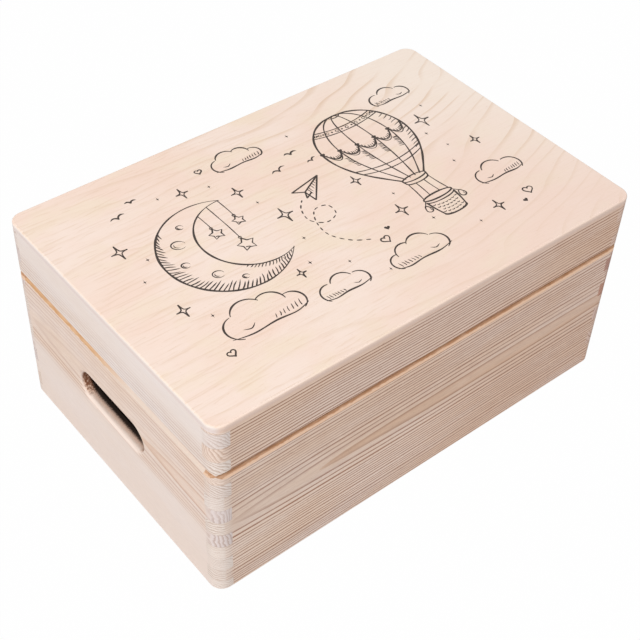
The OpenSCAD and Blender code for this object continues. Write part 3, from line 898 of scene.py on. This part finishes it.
# where the small motifs stand: (x, y, size) and what else the motif takes
CLOUDS = ((-82.0, -49.0, 25.0, BIG_CLOUD, 1), (-34.0, -57.0, 16.0, SMALL_CLOUD, -1),
          (103.0, -34.0, 17.0, SMALL_CLOUD, 1), (101.0, 62.0, 15.0, SMALL_CLOUD, -1),
          (-16.0, 66.0, 17.0, BIG_CLOUD, 1), (17.0, -60.0, 20.0, BIG_CLOUD, -1))
BIRDS = ((-2, 41, 5.2, 8), (13, 50, 4.4, -6), (20, 38, 3.6, 14), (-101, 60, 4.8, 4), (-88, 68, 3.6, -10))
OPEN_STARS = ((-116, 36, 5.0), (-34, 40, 4.2), (-24, 8, 5.4), (28, 8, 3.8), (100, 30, 5.6),
              (-114, -22, 4.2), (113, -4, 3.6), (80, -58, 4.2), (-47, -36, 3.2), (32, -28, 4.6),
              (-60, 58, 4.0))
FILLED_STARS = ((-107, 22, 1.7), (-30, 26, 1.5), (-28, -14, 1.7), (22, 66, 1.6), (93, 18, 1.7),
                (110, 42, 1.5), (-118, 8, 1.5), (-104, -34, 1.6), (-6, -62, 1.4), (42, -44, 1.7),
                (88, -12, 1.6), (-44, 54, 1.5), (-74, 62, 1.5), (38, -14, 1.5), (-38, -32, 1.8),
                (96, 2, 1.4), (-20, -44, 1.5), (62, -62, 1.4))
HEARTS = ((8, -42, 3.0, 12, False), (15, -35, 1.8, -14, True), (104, -58, 3.2, -10, False),
          (96, -64, 1.7, 12, True), (-112, -62, 2.6, 10, False), (-41, 69, 2.2, -8, False))


def draw_lid():
    d = Drawing(7)
    d.moon()
    d.balloon()
    d.paper_plane()
    for x, y, size, bumps, flip in CLOUDS:
        d.cloud((x, y), size, bumps, flip)
    for x, y, size, turn in BIRDS:
        d.bird((x, y), size, turn)
    for x, y, size in OPEN_STARS:
        d.star((x, y), size)
    for x, y, size in FILLED_STARS:
        d.star((x, y), size, filled=True)
    for x, y, size, turn, filled in HEARTS:
        d.heart((x, y), size, turn, filled)
    return d.shapes


def panel_ring(inset, z):
    """Outline of the lid's panel, drawn in by inset, as points in millimetres."""
    r = CORNER_R - inset
    ring = []
    for sx, sy, start in ((1, 1, 0), (-1, 1, 90), (-1, -1, 180), (1, -1, 270)):
        middle_x, middle_y = sx * (HALF_L - CORNER_R), sy * (HALF_W - CORNER_R)
        for k in range(CORNER_PARTS + 1):
            a = math.radians(start + 90 * k / CORNER_PARTS)
            ring.append((middle_x + r * math.cos(a), middle_y + r * math.sin(a), z))
    return ring


def make_lid_panel():
    """The plywood panel of the CAD model once more, its top face cut into wood and ink."""
    flat = panel_ring(TOP_EASE, TOP_HIGH)
    points = [Vector(p[:2]) for p in flat]
    faces = [list(range(len(points)))]
    for shape in draw_lid():
        if all(abs(x) < INK_REACH[0] and abs(y) < INK_REACH[1] for x, y in shape):
            faces.append(list(range(len(points), len(points) + len(shape))))
            points += [Vector(p) for p in shape]
    cut = delaunay_2d_cdt(points, [], faces, KEEP_INSIDE, MERGE, True)
    found, _, triangles, _, _, owners = cut

    bm = bmesh.new()
    top = [bm.verts.new((p.x * MM, p.y * MM, TOP_HIGH * MM)) for p in found]
    for corners, owner in zip(triangles, owners):
        face = bm.faces.new([top[i] for i in corners])
        face.material_index = 1 if any(o > 0 for o in owner) else 0
    rings = [[bm.verts.new(Vector(p) * MM) for p in flat]]
    for k in range(1, EASE_PARTS + 1):
        a = math.radians(90 * k / EASE_PARTS)
        ring = panel_ring(TOP_EASE * (1 - math.sin(a)), TOP_HIGH - TOP_EASE * (1 - math.cos(a)))
        rings.append([bm.verts.new(Vector(p) * MM) for p in ring])
    rings.append([bm.verts.new(Vector(p) * MM) for p in panel_ring(0.0, TOP_LOW)])
    for upper, lower in zip(rings, rings[1:]):
        count = len(upper)
        for i in range(count):
            j = (i + 1) % count
            bm.faces.new((upper[i], lower[i], lower[j], upper[j])).smooth = True
    bm.faces.new(rings[-1][::-1])
    for ring in (rings[0], rings[-1]):
        for a, b in zip(ring, ring[1:] + ring[:1]):
            bm.edges.get((a, b)).smooth = False
    bmesh.ops.remove_doubles(bm, verts=bm.verts, dist=WELD)
    bmesh.ops.recalc_face_normals(bm, faces=bm.faces)
    mesh = bpy.data.meshes.new("lid_panel")
    bm.to_mesh(mesh)
    bm.free()
    mesh.materials.append(birch("veneer_lid"))
    mesh.materials.append(birch("veneer_lid_inked", ink=True))
    panel = add_object("lid_panel", mesh)
    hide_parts("lid_top_panel")
    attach(panel, "lid")


# ---- camera, light and floor

# the camera stands where the photo's straight edges put it, in the frame's axes
CAMERA_PLACE = (-0.3683, -0.4236, 0.5922)
CAMERA_TURN = (45.643, -1.995, -38.964)     # degrees about X, Y and Z
CAMERA_LENS = 71.23
SENSOR_WIDTH = 36.0

FLOOR_SIZE = 6.0
KEY_FROM = Vector((-0.39, -0.215, 0.50))    # direction that the key light comes from
KEY_FAR = 3.4
KEY_SIZE = 1.05
KEY_WATTS = 65.5
SKY_STRENGTH = 0.5          # on the object; the background itself is white
FLOOR_TONE = 0.5            # what the floor sends back up
FLOOR_WHITE = 0.99          # share of the floor's look that is plain white; the rest shows the shadow


def make_camera():
    data = bpy.data.cameras.new("camera")
    data.lens = CAMERA_LENS
    data.sensor_width = SENSOR_WIDTH
    camera = add_object("camera", data)
    camera.location = CAMERA_PLACE
    camera.rotation_euler = Euler([math.radians(angle) for angle in CAMERA_TURN])
    bpy.context.scene.camera = camera


def seen_directly(tree):
    """1 for camera, glossy and transmitted rays, and 0 for the rays that light the object."""
    path = tree.nodes.new("ShaderNodeLightPath")
    total = None
    for kind in ("Is Camera Ray", "Is Glossy Ray", "Is Transmission Ray"):
        if total is None:
            total = path.outputs[kind]
            continue
        add = tree.nodes.new("ShaderNodeMath")
        add.operation = "MAXIMUM"
        tree.links.new(total, add.inputs[0])
        tree.links.new(path.outputs[kind], add.inputs[1])
        total = add.outputs[0]
    return total


def make_world():
    world = bpy.data.worlds.new("studio")
    bpy.context.scene.world = world
    world.use_nodes = True
    tree = world.node_tree
    ground = tree.nodes["Background"]
    level = tree.nodes.new("ShaderNodeMapRange")
    tree.links.new(seen_directly(tree), level.inputs["Value"])
    level.inputs["To Min"].default_value = SKY_STRENGTH
    level.inputs["To Max"].default_value = 1.0
    tree.links.new(level.outputs[0], ground.inputs["Strength"])
    ground.inputs["Color"].default_value = (1, 1, 1, 1)


def make_floor():
    mesh = bpy.data.meshes.new("floor")
    half = FLOOR_SIZE / 2
    corners = [(-half, -half, 0), (half, -half, 0), (half, half, 0), (-half, half, 0)]
    mesh.from_pydata(corners, [], [(0, 1, 2, 3)])
    floor = add_object("floor", mesh)
    t = Tree("floor_paper")
    t.surface.inputs["Base Color"].default_value = (FLOOR_TONE, FLOOR_TONE, FLOOR_TONE, 1)
    t.surface.inputs["Roughness"].default_value = 0.9
    t.surface.inputs["Specular IOR Level"].default_value = 0.0
    white = t.node("ShaderNodeEmission", {"Color": (1, 1, 1, 1), "Strength": 1.0})
    blend = t.nodes.new("ShaderNodeMixShader")
    t.put(blend.inputs[0], t.times(seen_directly(t.material.node_tree), FLOOR_WHITE))
    t.links.new(t.surface.outputs[0], blend.inputs[1])
    t.links.new(white.outputs[0], blend.inputs[2])
    t.links.new(blend.outputs[0], t.nodes["Material Output"].inputs["Surface"])
    mesh.materials.append(t.material)


def make_key():
    data = bpy.data.lights.new("key", "AREA")
    data.size = KEY_SIZE
    data.energy = KEY_WATTS
    key = add_object("key", data)
    key.location = KEY_FROM.normalized() * KEY_FAR
    key.rotation_euler = KEY_FROM.to_track_quat("Z", "Y").to_euler()


dress_wood()
dress_metal()
make_lid_panel()
make_camera()
make_world()
make_floor()
make_key()
bpy.context.scene.view_settings.view_transform = "Standard"
